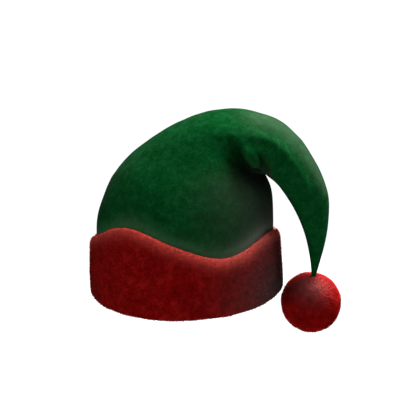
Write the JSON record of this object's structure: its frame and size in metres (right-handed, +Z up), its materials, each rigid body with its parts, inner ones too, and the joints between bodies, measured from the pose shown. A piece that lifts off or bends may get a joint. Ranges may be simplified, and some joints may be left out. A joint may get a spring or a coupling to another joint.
{
  "type": "elf hat",
  "caption": "Felt elf hat with a tall peak folded over to one side, a pompom on its tip and a thick turned-up cuff with a wavy edge.",
  "frame": {"origin": "centre of the head opening, in the plane of the lower rim", "axes": "+Z up out of the crown, +X towards the side the peak falls to, -Y towards the front"},
  "size_m": [0.2723, 0.2092, 0.2381],
  "materials": {
    "felt": "matte green felt",
    "plush": "matte red plush",
    "yarn": "soft red pile"
  },
  "bodies": {
    "root": {"crown": "felt", "cuff": "plush", "pompom": "yarn"}
  },
  "joints": []
}
